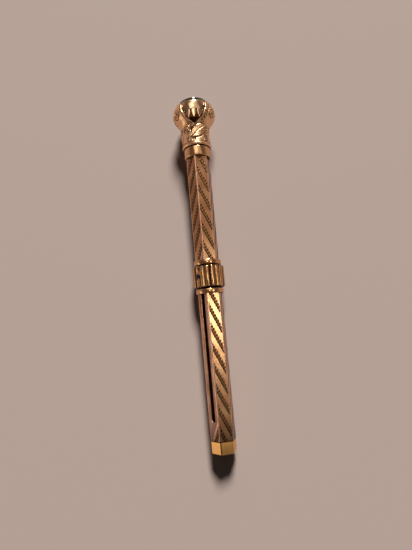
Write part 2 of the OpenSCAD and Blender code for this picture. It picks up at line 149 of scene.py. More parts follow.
def cut_away(mesh, cutter):
    """The mesh less the cutter's solid, as a new mesh."""
    work, tool = put("work", mesh), put("tool", cutter)
    cut = work.modifiers.new("cut", "BOOLEAN")
    cut.operation, cut.solver, cut.object = "DIFFERENCE", "EXACT", tool
    bpy.context.view_layer.update()
    result = bpy.data.meshes.new_from_object(work.evaluated_get(bpy.context.evaluated_depsgraph_get()))
    for thing in (work, tool):
        bpy.data.objects.remove(thing)
    return result


def cut_profile(across, width, depth):
    """Depth of a round-bottomed cut at a distance across it: a circle's arc of that width and depth."""
    radius = (width ** 2 / 4 + depth ** 2) / (2 * depth)
    arc = np.sqrt(np.maximum(radius ** 2 - across ** 2, 0)) - (radius - depth)
    return np.where(np.abs(across) < width / 2, np.maximum(arc, 0), 0)


bands = np.concatenate([first + pitch * np.arange(count) for first, pitch, count in band_runs])


def band_count(along):
    """Which band a height belongs to, counted from the mouth, with the share of the way to the next one."""
    return np.interp(along, bands, np.arange(len(bands)))


def by_slot(along, flat):
    """True for a band that would run into the slot."""
    return (flat == 0) & (along > slot_low - plain_below) & (along < slot_high + plain_above)


def band_depth(along, across, flat):
    """Depth of the engine turning. along is where the slanting line through a point meets the middle of
    its flat. Each band is two rows of punched dots, half a step apart, and a thin cut joins the lower ones.
    A dot's depth falls off as a cosine. The slotted flat has none beside the slot."""
    nearest = np.round(band_count(along)).astype(int)
    run = across / np.sin(band_slope)
    depth = np.zeros_like(along)
    for shift in (-1, 0, 1):
        middle = bands[np.clip(nearest + shift, 0, len(bands) - 1)]
        off = (along - middle) * np.sin(band_slope)
        cut = cut_profile(off + dot_row_gap, line_cut_w, line_cut_depth)
        for row, radius in enumerate(dot_radii):
            off_row = off + row * dot_row_gap
            steps = (run + off_row / np.tan(band_slope)) / dot_pitch - row / 2
            away = np.hypot(off_row, dot_pitch * (steps - np.round(steps))) / radius
            cut = np.maximum(cut, dot_depth * (0.5 + 0.5 * np.cos(np.pi * np.minimum(away, 1))))
        depth = np.maximum(depth, np.where(by_slot(middle, flat), 0, cut))
    return depth


face_half = flat_half * np.tan(np.radians(30))
panel_half = face_half - rail_w
dot_step = dot_pitch * np.sin(band_slope) / dot_steps
dot_columns = int((panel_half - 2 * panel_edge) / dot_step)
dots_x = np.arange(-dot_columns, dot_columns + 1) * dot_step
panel_x = np.concatenate([
    [-panel_half, panel_edge - panel_half], dots_x, [panel_half - panel_edge, panel_half]])
within = np.abs(panel_x) < panel_half - panel_edge / 2
corner_arc = np.radians(np.linspace(0, 60, corner_points))
corner_out = (flat_half - corner_round) / np.cos(np.radians(30))
first_half = corner_arc < np.radians(30)
columns = []  # x, z, normal x, normal z, place across, panel or not, flat
for flat in range(6):
    face_turn = np.radians(slot_turn + 60 * flat)
    normal = np.array([np.sin(face_turn), np.cos(face_turn)])
    along_flat = np.array([np.cos(face_turn), -np.sin(face_turn)])
    on_flat = flat_half * normal + panel_x[:, None] * along_flat
    panel_normal = np.tile(normal, (len(panel_x), 1))
    columns.append(np.column_stack([on_flat, panel_normal, panel_x, within, np.full(len(panel_x), flat)]))
    corner_turn = face_turn + np.radians(30)
    round_normal = np.column_stack([np.sin(face_turn + corner_arc), np.cos(face_turn + corner_arc)])
    corner_middle = corner_out * np.array([np.sin(corner_turn), np.cos(corner_turn)])
    on_corner = corner_middle + corner_round * round_normal
    corner_x = np.where(first_half, face_half, -face_half)
    corner_flat = np.where(first_half, flat, (flat + 1) % 6)
    columns.append(np.column_stack([on_corner, round_normal, corner_x, 0 * corner_x, corner_flat]))
columns = np.concatenate(columns)
base, normals = columns[:, :2], columns[:, 2:4]
across, in_panel, flat_of = columns[:, 4:].T
side = np.where(flat_of % 2 == 0, 1, -1)
lift = side * np.clip(across, -panel_half, panel_half) / np.tan(band_slope)

dot_rows = np.concatenate([
    np.linspace(radius, -radius, dot_steps) - row * dot_row_gap for row, radius in enumerate(dot_radii)])
mean_pitch = np.diff(bands).mean()
band_rows = np.append(dot_rows / np.sin(band_slope), mean_pitch * plain_row_at)
strip_len = dot_row_gap / np.sin(band_slope)
rows = np.sort((bands[:, None] + band_rows).ravel())
height = np.clip(rows[:, None] + lift, barrel_low, barrel_high)
crossing = height - lift
depth = band_depth(crossing, np.broadcast_to(across * side, crossing.shape), flat_of) * in_panel
skin = base - depth[..., None] * normals
outside = np.stack([skin[..., 0], height, skin[..., 1]], -1)
bore = base * bore_half / flat_half
bore_rows = np.stack([
    np.stack([bore[:, 0], np.full(len(bore), end), bore[:, 1]], -1) for end in (barrel_high, barrel_low)])
slot_mark = 2 * face_half  # past any place across a flat: it marks the plain part beside the slot
beside = by_slot(crossing + strip_len / 2, flat_of) * in_panel
turning = np.stack([band_count(crossing), np.where(beside, slot_mark, np.abs(across)), depth], -1)
turning = np.concatenate([turning, np.zeros_like(bore_rows)])
barrel_mesh = grid_mesh("barrel", np.concatenate([outside, bore_rows]), True, 13, turning=turning)

slot_normal = np.array([np.sin(np.radians(slot_turn)), np.cos(np.radians(slot_turn))])
slot_across = np.array([slot_normal[1], -slot_normal[0]])
slot_arc = np.radians(np.linspace(0, 180, 17))
slot_x = slot_half * np.concatenate([np.cos(slot_arc), -np.cos(slot_arc)])
slot_y = np.concatenate([slot_high - slot_half + slot_half * np.sin(slot_arc),
                         slot_low + slot_half - slot_half * np.sin(slot_arc)])
slot_ring = slot_x[:, None] * slot_across
slot_tube = []
for reach, opened in ((saw_in, 0), (saw_in, 1), (saw_out, 1), (saw_out, 0)):
    ring_x, ring_z = (opened * slot_ring + reach * slot_normal).T
    slot_tube.append(np.stack([ring_x, np.where(opened, slot_y, (slot_low + slot_high) / 2), ring_z], -1))
barrel_mesh = cut_away(barrel_mesh, grid_mesh("slot", np.stack(slot_tube), False))

# Rose gold, engine turned: bright bands, brown satin strips hatched by the cutter, and rails worn by the
# hand.
# The dots are painted dark as old dirt and painted shade, and the barrel is painted darker beside the mouth
# band. The lower half is painted brighter than the upper one, and the flat beside the slot is mottled.
mottle_w, hatch_gap, hatch_height = 3.85, 0.16, 0.03
lighter_below, darker_above = 45.9, 50.9  # heights between which the upper half's brown gives way
darkest_below, undarkened_above = 3.4, 9.4  # heights between which the painted darkening beside the mouth band fades
mix_by, mix_from, mix_to, mixed = 0, 6, 7, 2  # a colour Mix node's factor, two colours and result
from_low, from_high, to_low, to_high = 1, 2, 3, 4  # a Map Range node's limits


def scene_y(tall):
    """A height above the mouth as Object Y, in metres."""
    return (tall - mouth_to_middle) / 1000


rose_gold, tree, shader = new_material("rose_gold_engine_turned")
mark = add_node(tree, "Attribute", {}, attribute_name="turning")
axes = add_node(tree, "SeparateXYZ", {"Vector": mark.outputs["Vector"]})
point = add_node(tree, "TexCoord", {}).outputs["Object"]
point_axes = add_node(tree, "SeparateXYZ", {"Vector": point})
# The lower half is painted brighter, and the upper half browner and darker.
lower_half_lighter = add_node(tree, "MapRange", {
    "Value": point_axes.outputs["Y"], from_low: scene_y(darker_above), from_high: scene_y(lighter_below)})
tarnish = add_node(tree, "TexNoise", {"Vector": point, "Scale": 1000 / mottle_w, "Detail": 4.0})
wear = add_node(tree, "MapRange", {"Value": tarnish.outputs["Fac"], from_low: 0.35, from_high: 0.7})
rail = add_node(tree, "MapRange", {
    "Value": axes.outputs["Y"], from_low: panel_half - 0.02, from_high: panel_half + 0.03})
slotted = add_node(tree, "MapRange", {
    "Value": axes.outputs["Y"], from_low: 0.6 * slot_mark, from_high: 0.9 * slot_mark})
phase = add_node(tree, "Math", {0: axes.outputs["X"]}, operation="FRACT")
strip_start = 1 - strip_len / mean_pitch
in_strip = add_node(tree, "MapRange", {
    "Value": phase.outputs[0], from_low: strip_start - 0.02, from_high: strip_start + 0.01})
on_panel = add_node(tree, "Math", {0: 1.0, 1: rail.outputs[0]}, operation="SUBTRACT")
strip = add_node(tree, "Math", {0: in_strip.outputs[0], 1: on_panel.outputs[0]}, operation="MULTIPLY")
# The barrel is painted darker beside the mouth band, fading out upwards.
mouth_end_darkening = add_node(tree, "MapRange", {
    "Value": point_axes.outputs["Y"], from_low: scene_y(undarkened_above), from_high: scene_y(darkest_below),
    to_high: 0.65})
# The dots are painted dark according to their depth, as old dirt and painted shade in the pits.
dirt_and_shade = add_node(tree, "MapRange", {"Value": axes.outputs["Z"], from_low: 0.012, from_high: 0.035})
layers = (  # a layer's name, its mask, and two colours or earlier layers
    ("brown", lower_half_lighter, "#a3714f", "#bd8a66"),
    ("clear", lower_half_lighter, "#c6956d", "#e0b48c"),
    ("bright", wear, "brown", "clear"),
    ("mottled", wear, "#7f5b48", "#af907f"),
    ("plain", slotted, "#e2b096", "mottled"),
    ("pink", rail, "bright", "plain"),
    ("cut_floor", lower_half_lighter, "#8a6240", "#a27650"),
    ("banded", strip, "pink", "cut_floor"),
    ("darker_at_mouth", mouth_end_darkening, "banded", "#2e1a0e"),
    ("colour", dirt_and_shade, "darker_at_mouth", "#1e1008"))
tones = {}
for layer, mask, *pair in layers:
    first, second = (tones[tone] if tone in tones else linear(tone) for tone in pair)
    mix = add_node(tree, "Mix", {mix_by: mask.outputs[0], mix_from: first, mix_to: second}, data_type="RGBA")
    tones[layer] = mix.outputs[mixed]
satin = add_node(tree, "MapRange", {"Value": strip.outputs[0], to_low: 0.24, to_high: 0.36})
hatch_turns = 2 * np.pi * mean_pitch * np.sin(band_slope) / hatch_gap
lines = add_node(tree, "Math", {0: axes.outputs["X"], 1: hatch_turns}, operation="MULTIPLY")
ridges = add_node(tree, "Math", {0: lines.outputs[0]}, operation="SINE")
hatching = add_node(tree, "Math", {0: ridges.outputs[0], 1: strip.outputs[0]}, operation="MULTIPLY")
bump = add_node(tree, "Bump", {
    "Height": hatching.outputs[0], "Strength": 0.25, "Distance": hatch_height / 1000})
set_inputs(tree, shader, {"Base Color": tones["colour"], "Metallic": 1.0,
                          "Roughness": satin.outputs[0], "Normal": bump.outputs["Normal"]})
place("barrel_tube", barrel_mesh, rose_gold, "case", "barrel")

# MOUTH BAND. A plain band of yellow gold sheet, folded to the hexagon and soldered over the mouth bush.
# Its edges are rounded over by long handling, and its dark seam is at the corner beside the slot.
band_half, band_in, band_top, band_fillet = 2.7, 2.36, 2.98, 0.16
mouth_round, top_round = 0.14, 0.1
lead_in_w, lead_in_h = 0.1, 0.15
edge_shade_low, edge_shade_high = 2.7, 2.78  # the painted shade along the upper edge starts between these heights


def hexagon(half, fillet, run=0.12):
    """Points round a hexagon with rounded corners, for each distance half to a flat: each corner is an arc
    with a point on the flat at a distance run on either side."""
    half = np.asarray(half, float)[:, None, None]
    face = np.radians(slot_turn + 60 * np.arange(6))[:, None]
    turn = face + np.radians(np.concatenate([[0], np.linspace(0, 60, corner_points), [60]]))
    past = np.concatenate([[-run], np.zeros(corner_points), [run]])
    far = (half - fillet) / np.cos(np.radians(30))
    x = far * np.sin(face + np.radians(30)) + fillet * np.sin(turn) + past * np.cos(turn)
    z = far * np.cos(face + np.radians(30)) + fillet * np.cos(turn) - past * np.sin(turn)
    return x.reshape(len(half), -1), z.reshape(len(half), -1)


def arc(middle_r, middle_tall, radius, start, end, points):
    """Radius and height along a circle's arc, with its angles in degrees from straight outwards."""
    turn = np.radians(np.linspace(start, end, points))
    return np.column_stack([middle_r + radius * np.cos(turn), middle_tall + radius * np.sin(turn)])


def grime(grid, amount):
    """Marks for a grid's points: how much painted shade and dirt each one takes, from 0 to 1, as the first
    part of a vector.
    """
    marks = np.zeros(grid.shape)
    marks[..., 0] = amount
    return marks


mouth_edge = arc(band_half - mouth_round, mouth_round, mouth_round, -90, 0, 5)
top_edge = arc(band_half - top_round, band_top - top_round, top_round, 0, 90, 5)
band_profile = np.concatenate([
    mouth_edge, [[band_half, edge_shade_low], [band_half, edge_shade_high]], top_edge,
    [[band_in, band_top], [band_in, lead_in_h], [band_in + lead_in_w, 0.0]]])
band_x, band_z = hexagon(band_profile[:, 0], band_fillet)
band_points = np.stack([band_x, np.broadcast_to(band_profile[:, 1:], band_x.shape), band_z], -1)
first_shaded = len(mouth_edge) + 1  # the row at edge_shade_high
seam = slice(1, 1 + corner_points)  # the columns on the arc of the corner beside the slot
# The band's upper edge beside the barrel is painted dark as shade; the seam's corner is dark as a joint.
band_seam_and_shade = np.zeros(band_x.shape)
band_seam_and_shade[first_shaded:] = 1
band_seam_and_shade[:, seam] = 1
band_mesh = grid_mesh("mouth_band", band_points, True, 40, grime=grime(band_points, band_seam_and_shade))


def clouded(tree, wide, detail, tones):
    """Two tones that mix in patches about wide mm across. It gives three outputs to link: the object's
    points, the noise and the mixed colour."""
    point = add_node(tree, "TexCoord", {}).outputs["Object"]
    patches = add_node(tree, "TexNoise", {"Vector": point, "Scale": 1000 / wide, "Detail": detail})
    noise = patches.outputs["Fac"]
    first, second = (linear(tone) for tone in tones)
    mix = add_node(tree, "Mix", {mix_by: noise, mix_from: first, mix_to: second}, data_type="RGBA")
    return point, noise, mix.outputs[mixed]


def worked_gold(name, tones, dirt_and_shade, scratch_mm, rough, relief):
    """Gold with wear. Two tones mix in smears, the dark colour shows painted shade and dirt where the mesh
    is marked for them, and scratches, scratch_mm apart along x, y and z, change the roughness and stand out
    by relief."""
    smear_w, scratch_height = 2.38, 0.02
    material, tree, shader = new_material(name)
    point, _, gold = clouded(tree, smear_w, 3.0, tones)
    mark = add_node(tree, "Attribute", {}, attribute_name="grime")
    axes = add_node(tree, "SeparateXYZ", {"Vector": mark.outputs["Vector"]})
    colour = add_node(tree, "Mix", {
        mix_by: axes.outputs["X"], mix_from: gold, mix_to: linear(dirt_and_shade)}, data_type="RGBA")
    stretch = add_node(tree, "Mapping", {"Vector": point, "Scale": [1000 / gap for gap in scratch_mm]})
    hair = add_node(tree, "TexNoise", {"Vector": stretch.outputs["Vector"], "Scale": 1.0, "Detail": 2.0})
    gloss = add_node(tree, "MapRange", {
        "Value": hair.outputs["Fac"], from_low: 0.35, from_high: 0.75, to_low: rough[0], to_high: rough[1]})
    bump = add_node(tree, "Bump", {
        "Height": hair.outputs["Fac"], "Strength": relief, "Distance": scratch_height / 1000})
    set_inputs(tree, shader, {"Base Color": colour.outputs[mixed], "Metallic": 1.0,
                              "Roughness": gloss.outputs[0], "Normal": bump.outputs["Normal"]})
    return material


# Yellow gold, brushed by wear: warm and satin, with scratches 0.1 mm apart that run round the band. The seam
# is brown, and the edge beside the barrel is painted brown as shade.
worn_gold = worked_gold(
    "yellow_gold_brushed", ("#e6a75f", "#f8ca84"), "#3a1c0c", (1.1, 0.11, 1.1), (0.3, 0.45), 0.4)
place("mouth_band_sheet", band_mesh, worn_gold, "case", "mouth_band")

# BUSHES AND WELL FLOOR. Brass pieces turned on a lathe and soldered into the tube: the mouth bush guides
# the nozzle, the neck bush takes the finial's screw, and the floor closes the well for spare leads.


def dress(metal, *names):
    """Gives its metal to each CAD piece that is shown as it is."""
    for name in names:
        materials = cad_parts[name].data.materials
        materials.clear()
        materials.append(metal)


# Turned brass, left from the tool: dull yellow in patches 2 mm wide, with fine rings 0.13 mm apart.
tool_ring_gap, tool_ring_height, brass_patch_w = 0.1257, 0.02, 2.0
waves_per_unit = 20 / (2 * np.pi)  # of a Wave texture at a scale of 1
turned_brass, tree, shader = new_material("brass_turned")
point, _, colour = clouded(tree, brass_patch_w, 4.0, ("#7d5f2f", "#c9a45c"))
rings = add_node(tree, "TexWave", {
    "Vector": point, "Scale": 1000 / tool_ring_gap / waves_per_unit, "Distortion": 1.5}, bands_direction="Y")
rough = add_node(tree, "MapRange", {"Value": rings.outputs["Fac"], to_low: 0.3, to_high: 0.45})
bump = add_node(tree, "Bump", {
    "Height": rings.outputs["Fac"], "Strength": 0.15, "Distance": tool_ring_height / 1000})
set_inputs(tree, shader, {
    "Base Color": colour, "Metallic": 1.0, "Roughness": rough.outputs[0], "Normal": bump.outputs["Normal"]})
dress(turned_brass, "mouth_bush", "neck_bush", "reservoir_floor")

# NECK FERRULE. A plain ring of yellow gold, turned with rounded edges. It is soldered over the top of the
# tube and hides the raw edge.
ferrule_r, ferrule_edge, ferrule_low, ferrule_high, ferrule_hole_half = 3.45, 0.3, 74.0, 76.75, 2.77
round_turns = np.radians(slot_turn + 30 + np.arange(0, 360, 3.75))


def around(radius, tall, turns=round_turns):
    """Points turned round the pencil's axis: radius and height for each row, or for each row and turn."""
    radius, tall = np.broadcast_arrays(np.asarray(radius, float), np.asarray(tall, float))
    shape = (len(radius), len(turns))
    radius, tall = (
        np.broadcast_to(each if each.ndim == 2 else each[:, None], shape) for each in (radius, tall))
    return np.stack([radius * np.sin(turns), tall, radius * np.cos(turns)], -1)


def hex_hole(half, high, low):
    """Two rows of points round a hexagonal hole, at its upper and its lower end: at each turn, the distance
    from the axis to a side is half over the cosine of the turn from that side's middle."""
    off_face = (np.degrees(round_turns) - slot_turn + 30) % 60 - 30
    sides = np.tile(half / np.cos(np.radians(off_face)), (2, 1))
    return around(sides, np.array([[high], [low]]))


ferrule_out = np.concatenate([
    arc(ferrule_r - ferrule_edge, ferrule_low + ferrule_edge, ferrule_edge, -90, 0, 7),
    arc(ferrule_r - ferrule_edge, ferrule_high - ferrule_edge, ferrule_edge, 0, 90, 7)])
ferrule_grid = np.concatenate([
    around(*ferrule_out.T), hex_hole(ferrule_hole_half, ferrule_high, ferrule_low)])
# The ferrule's lower and upper edges and its hole are painted dark as shade.
ferrule_shade = np.concatenate([[1, 0.7, 0.2], np.zeros(len(ferrule_out) - 4), [0.6, 1, 1]])
ferrule_mesh = grid_mesh("ferrule", ferrule_grid, True, grime=grime(ferrule_grid, ferrule_shade[:, None]))
# Yellow gold, hand polished: warm and mirror-like, with hairline scratches 0.1 mm apart along the pencil.
# Grooves, edges and hollows are painted brown as shade.
plain_gold = worked_gold(
    "yellow_gold_polished", ("#d09262", "#ecbe8e"), "#23140a", (0.11, 1.4, 0.11), (0.13, 0.27), 0.04)
place("neck_ferrule_ring", ferrule_mesh, plain_gold, "case", "neck_ferrule")

# SLIDE SLEEVE. A turned tube of yellow gold with a hexagonal hole that runs on the barrel. Its two ends
# show beside the ring as plain collars, each parted from the ring by a turned groove.
sleeve_r, sleeve_low, sleeve_high, sleeve_hole_half = 3.5, 38.0, 46.5, 2.83
collar_w, collar_round, groove_r = 1.2, 0.16, 3.36
groove_start, groove_floor_end, groove_end = 0.04, 0.3, 0.5  # from the collar's inner edge
collar_arc = np.radians(np.linspace(-90, 90, 15))
collar = np.column_stack([sleeve_r - collar_round + collar_round * np.cos(collar_arc) ** 0.7,
                          collar_w / 2 * (1 + np.sin(collar_arc))])
groove = np.array([[groove_r, groove_start], [groove_r, groove_floor_end], [sleeve_r, groove_end]])
low_groove = groove + [0, sleeve_low + collar_w]
high_groove = (groove * [1, -1] + [0, sleeve_high - collar_w])[::-1]
sleeve_out = np.concatenate([
    collar + [0, sleeve_low], low_groove, high_groove, collar + [0, sleeve_high - collar_w]])
sleeve_grid = np.concatenate([around(*sleeve_out.T), hex_hole(sleeve_hole_half, sleeve_high, sleeve_low)])
# The collars' outer edges, the grooves beside the ring and the hole are painted dark as shade.
collar_shade = np.concatenate([[1, 0.4], np.zeros(len(collar) - 4), [0.4, 1]])
sleeve_shade = np.concatenate([collar_shade, np.ones(2 * len(groove)), collar_shade, [1, 1]])
sleeve_mesh = grid_mesh("sleeve", sleeve_grid, True, grime=grime(sleeve_grid, sleeve_shade[:, None]))
place("slide_sleeve_tube", sleeve_mesh, plain_gold, "slide", "slide_sleeve")

# SLIDE RING. A reeded drum of yellow gold, milled along its length so that the thumb grips it, and
# soldered over the sleeve. A hole on the slot's side takes the pin.
ring_r, ring_bore, ring_low, ring_high = 4.05, 3.52, 39.65, 44.85
ring_recess_r, ring_recess = 3.65, 0.4
reeds, reed_points, reed_depth, reed_end, valley_shade = 18, 12, 0.3, 0.25, 0.95
reed_turns = np.radians(slot_turn + np.arange(0, 360, 360 / reeds / reed_points))
reed_r = np.pi * (ring_r - reed_depth) / reeds
reed_middle_r = ring_r - reed_r
reed_off = np.radians((np.degrees(reed_turns) - slot_turn + 180 / reeds) % (360 / reeds) - 180 / reeds)
reed_half = np.sqrt(np.maximum(reed_r ** 2 - (reed_middle_r * np.sin(reed_off)) ** 2, 0))
reed_out = np.maximum(reed_middle_r * np.cos(reed_off) + reed_half, ring_r - reed_depth)
end_in = np.array([0, 0.03, 0.08, 0.15, reed_end])
end_limit = ring_r - reed_end + np.sqrt(reed_end ** 2 - (reed_end - end_in) ** 2)
ring_tall = np.concatenate([ring_low + end_in, ring_high - end_in[::-1]])
ring_limit = np.concatenate([end_limit, end_limit[::-1]])
bore_high, bore_low = ring_high - ring_recess, ring_low + ring_recess
ring_inside = np.array([
    [ring_recess_r, ring_high], [ring_recess_r, bore_high], [ring_bore, bore_high],
    [ring_bore, bore_low], [ring_recess_r, bore_low], [ring_recess_r, ring_low]])
ring_grid = np.concatenate([
    around(np.minimum(reed_out, ring_limit[:, None]), ring_tall[:, None], reed_turns),
    around(*ring_inside.T, reed_turns)])
# The reeds' valleys, the drum's ends and its inside are painted dark as shade.
valley = np.tile((ring_r - reed_out) / reed_depth, (len(ring_tall), 1))
valley[[0, -1]] = 1
ring_shade = np.concatenate([valley_shade * valley, np.ones((len(ring_inside), len(reed_turns)))])
ring_mesh = grid_mesh("ring", ring_grid, True, 30, grime=grime(ring_grid, ring_shade))
pin_tall, pin_hole_r, pin_hole_in, pin_hole_out = 42.25, 0.64, 3.6, 4.6
pin_turns = np.radians(np.arange(0, 360, 15))


def beside_slot(profile):
    """Points turned round the pin's own axis, which points out through the slot. Each row of the profile is
    a radius and how far from the pencil's axis it lies."""
    radius, reach = np.array(profile)[:, :1], np.array(profile)[:, 1:]
    sideways = radius * np.cos(pin_turns)
    return np.stack([reach * slot_normal[0] + sideways * slot_across[0],
                     pin_tall + radius * np.sin(pin_turns),
                     reach * slot_normal[1] + sideways * slot_across[1]], -1)


pin_hole = beside_slot([
    [0, pin_hole_in], [pin_hole_r, pin_hole_in], [pin_hole_r, pin_hole_out], [0, pin_hole_out]])
ring_mesh = cut_away(ring_mesh, grid_mesh("pin_hole", pin_hole, False))
place("slide_ring_drum", ring_mesh, plain_gold, "slide", "slide_ring")

# SLIDE PIN. A hardened steel pin through the ring, the sleeve and the slot into the carriage. Its head is
# domed and sits just below the reeds.
shank_r, shank_in, head_r, head_low = 0.45, 1.84, 0.62, 3.64
dome = [[head_r, 3.82], [0.55, 3.9], [0.35, 3.95], [0.15, 3.97], [0, 3.97]]
pin_points = beside_slot([
    [0, shank_in], [shank_r, shank_in], [shank_r, head_low], [head_r, head_low], *dome])
pin_mesh = grid_mesh("pin", pin_points, False)
# Blued steel: almost black with a cold shine, and grey in spots 0.7 mm wide where the blue has rubbed off.
rub_w = 0.667
blued_steel, tree, shader = new_material("steel_blued")
*_, colour = clouded(tree, rub_w, 3.0, ("#17181c", "#4c4c52"))
set_inputs(tree, shader, {"Base Color": colour, "Metallic": 1.0, "Roughness": 0.3})
place("slide_pin_steel", pin_mesh, blued_steel, "slide", "slide_pin")

# CARRIAGE, SPRING AND FEED TUBE. Inside the barrel a brass block carries the feed tube, and a bowed strip
# of blued steel in its pocket rubs on the barrel. The tube shows in the slot, and when it is pushed out.
dress(turned_brass, "carriage")
dress(blued_steel, "drag_spring")
tube_r, tube_bore, tube_low, tube_high, tube_chamfer = 1.8, 1.45, 13.05, 48.2, 0.06
tube_profile = np.array([
    [tube_bore, tube_low], [tube_r - tube_chamfer, tube_low], [tube_r, tube_low + tube_chamfer],
    [tube_r, tube_high], [tube_bore, tube_high]])
tube_mesh = grid_mesh("feed_tube", around(*tube_profile.T), True)
place("feed_tube_gold", tube_mesh, plain_gold, "slide", "feed_tube")

# NOZZLE. The nose cone is turned from gold, with a fluted shoulder to grip it by. The slit tube and its
# collar behind it are brass.
nose_low, nose_high, nose_socket = 1.0, 13.0, 2.4
lead_hole_r, socket_r, shoulder_r = 0.68, 1.43, 1.8
flutes, flute_points, flute_depth = 14, 8, 0.13
nose_turns = np.radians(np.arange(0, 360, 360 / flutes / flute_points))
nose_rows = np.array([  # radius, height, and 1 where the flutes are cut
    [lead_hole_r, nose_low, 0], [0.7, nose_low, 0], [0.85, nose_low + 0.04, 0], [0.95, nose_low + 0.25, 0],
    [1.1, 3.2, 0], [1.27, 5.5, 0], [1.42, 7.6, 0], [1.53, 9.3, 0], [1.55, 9.55, 0], [1.55, 9.8, 0],
    [1.64, 9.8, 0], [1.76, 9.88, 1], [shoulder_r, 10.05, 1], [shoulder_r, 11.3, 1], [shoulder_r, 11.55, 0],
    [shoulder_r, nose_high - 0.05, 0], [1.76, nose_high, 0], [socket_r, nose_high, 0],
    [socket_r, nose_high - nose_socket, 0], [lead_hole_r, nose_high - nose_socket, 0]])
flute_cut = flute_depth * np.maximum(np.cos(nose_turns * flutes), 0) ** 0.7
nose_grid = around(nose_rows[:, :1] - nose_rows[:, 2:] * flute_cut, nose_rows[:, 1:2], nose_turns)
nose_mesh = grid_mesh("nose_cone", nose_grid, True, 30)
place("nose_cone_gold", nose_mesh, plain_gold, "nozzle", "nose_cone")
dress(turned_brass, "slit_tube", "retaining_collar")

# LEAD AND FEED. A steel rod with a brass follower pushes the lead, which sits in a small brass cup. The
# lead is extruded graphite and clay, with its point worn by writing.
dress(blued_steel, "push_rod")
dress(turned_brass, "feed_follower", "lead_cup")
lead_r, lead_top = 0.6, 28.0
lead_profile = np.array([
    [0, 0.4], [0.12, 0.42], [0.3, 0.55], [lead_r, 1.3], [lead_r, lead_top], [0, lead_top]])
lead_mesh = grid_mesh("lead", around(*lead_profile.T), False)
# Graphite lead: dark grey with a greasy sheen, and a grain 0.3 mm wide.
grain_w = 0.333
graphite, tree, shader = new_material("graphite_extruded")
*_, colour = clouded(tree, grain_w, 4.0, ("#1e1e20", "#48484c"))
set_inputs(tree, shader, {"Base Color": colour, "Metallic": 0.3, "Roughness": 0.45})
place("lead_stick", lead_mesh, graphite, "feed", "lead")

# FINIAL SCREW. A brass stem with a cut thread holds the finial to the neck bush, over a thin brass washer.
# The stem is soldered into the finial, so it turns with it.
dress(turned_brass, "finial_washer")
stem_r, stem_low, stem_top, stem_high = 1.64, 73.0, 76.7, 79.7
thread_pitch, thread_depth = 0.75, 0.24
thread_start, thread_end = 0.5, 0.4  # runs in which the thread rises and dies out
tip_bevel, tip_run = 0.15, 0.3
stem_turns = np.radians(np.arange(0, 360, 7.5))
stem_tall = np.linspace(stem_low + 0.02, stem_top, 75)[:, None]
turn_share = (stem_tall / thread_pitch + stem_turns / (2 * np.pi)) % 1
fade_in = np.clip((stem_tall - stem_low) / thread_start, 0, 1)
fade = fade_in * np.clip((stem_top - stem_tall) / thread_end, 0, 1)
bevel = tip_bevel * np.clip(1 - (stem_tall - stem_low) / tip_run, 0, 1)
thread = stem_r - thread_depth * fade * np.abs(2 * turn_share - 1) - bevel
stem_grid = np.concatenate([
    around([0], [stem_low], stem_turns), around(thread, stem_tall, stem_turns),
    around([stem_r, 0], [stem_high, stem_high], stem_turns)])
stem_mesh = grid_mesh("stem", stem_grid, False, 40)
place("finial_stem_screw", stem_mesh, turned_brass, "finial", "finial_stem")

# FINIAL. A cup of yellow gold, cast and then chased by hand. Three broad petals with rolled edges clasp the
# seal's collet, and a veined leaf lies aslant below each gap between them. Scrolls and punched strokes fill
# the ground, and a border of short strokes follows one edge of each petal.
foot_tall = 76.8  # other heights on the finial are above its foot
foot_r, waist_r, waist_up, bulb_up, bulb_r, bulb_round, petal_round = 3.85, 3.6, 4.4, 9.4, 5.6, 3.4, 4.6
foot_round, relief_low_up = 0.42, 0.86
petals, part_up, knee_up, upright_up, petal_top_up = 3, 5.6, 7.3, 9.3, 11.8
knee_half_w, gap_half_w, top_half_w = 2.13, 3.2, 3.33
leaf_turn, leaf_up, leaf_lean, leaf_w, leaf_h, leaf_rise = 12.0, 3.8, np.radians(40), 2.8, 5.2, 0.24
leaf_cut, leaf_cut_out, leaf_cut_w = 0.1, 0.22, 0.16  # the ground sunk round a leaf
vein_gap, vein_depth = 0.75, 0.12
petal_sag = 0.12  # from a petal's middle to its edge
roll_rise, roll_in, roll_w = 0.08, 0.16, 0.15  # a petal's rolled edge, and the line cut beside it
roll_cut, roll_cut_in, roll_cut_w = 0.08, 0.48, 0.09
border_in, border_out, border_gap, border_depth = 0.5, 1.4, 0.8, 0.12
foot_cut, foot_cut_up, foot_cut_w = 0.07, 1.05, 0.07
# A patch of strokes is its place, height, half width and half height. A scroll is its turn in degrees,
# height, radius and pitch.
stroke_patches = ((-0.9, 4.5, 1.0, 0.55), (-1.3, 1.75, 1.4, 0.65), (2.9, 2.0, 0.75, 1.0))
scrolls = ((60, 8.7, 1.7, 0.62), (80, 4.7, 1.5, 0.6), (46, 4.4, 1.5, 0.6))
stroke_gap, stroke_depth, scroll_depth = 0.5, 0.12, 0.09
vein_darkening, full_darkening = 0.08, 0.09  # darkening in a vein, and the depth of a cut that is fully darkened
wall_out, wall_in, wall_drop, gap_least = 0.985, 0.97, 0.1, 0.2  # a gap's walls and its least depth
cup_under = 0.12  # the cup lies this far inside the collet, which covers it in the gaps
stem_hole_r, cup_floor_up, cup_floor_r, cup_r, cup_taper = 1.67, 5.5, 3.42, 4.52, 2.4
bulb_mid = bulb_r - bulb_round
waist_gap = bulb_round - waist_r + bulb_mid
waist_round = ((waist_r - bulb_mid) ** 2 + (bulb_up - waist_up) ** 2 - bulb_round ** 2) / (2 * waist_gap)
meet_up = bulb_up + (waist_up - bulb_up) * bulb_round / (bulb_round + waist_round)


